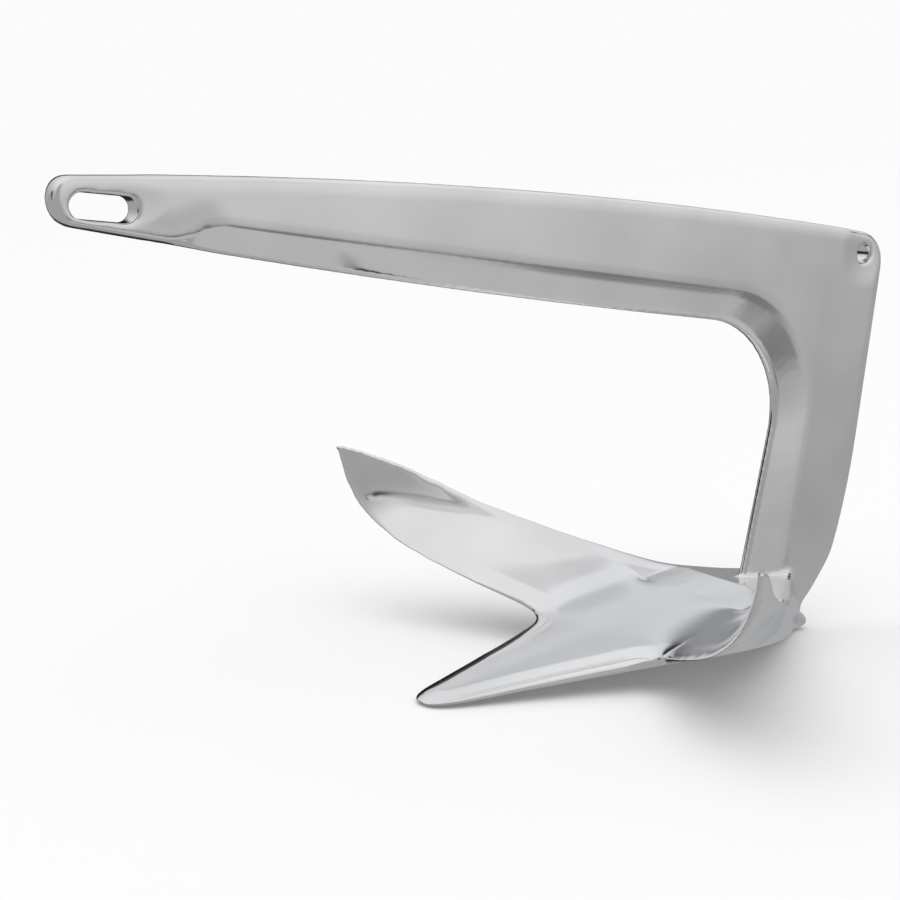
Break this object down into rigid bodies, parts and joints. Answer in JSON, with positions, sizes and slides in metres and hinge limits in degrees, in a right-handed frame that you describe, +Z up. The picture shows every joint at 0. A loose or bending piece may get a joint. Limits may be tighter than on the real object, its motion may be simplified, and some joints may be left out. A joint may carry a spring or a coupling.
{
  "type": "claw anchor",
  "caption": "One-piece cast claw anchor: slotted shank arm and leg over a crown with a pointed fluke and two curved wings, all polished stainless steel.",
  "frame": {"origin": "middle of the bounding box in X and Y, on the ground plane under the sole", "axes": "+X from the eye end of the shank towards the heel, +Y across the wings, +Z up from the ground that the sole rests on"},
  "size_m": [0.4928, 0.3498, 0.2577],
  "materials": {
    "polished_steel": "mirror-polished stainless steel"
  },
  "bodies": {
    "root": {"claw_anchor": "polished_steel"}
  },
  "joints": []
}
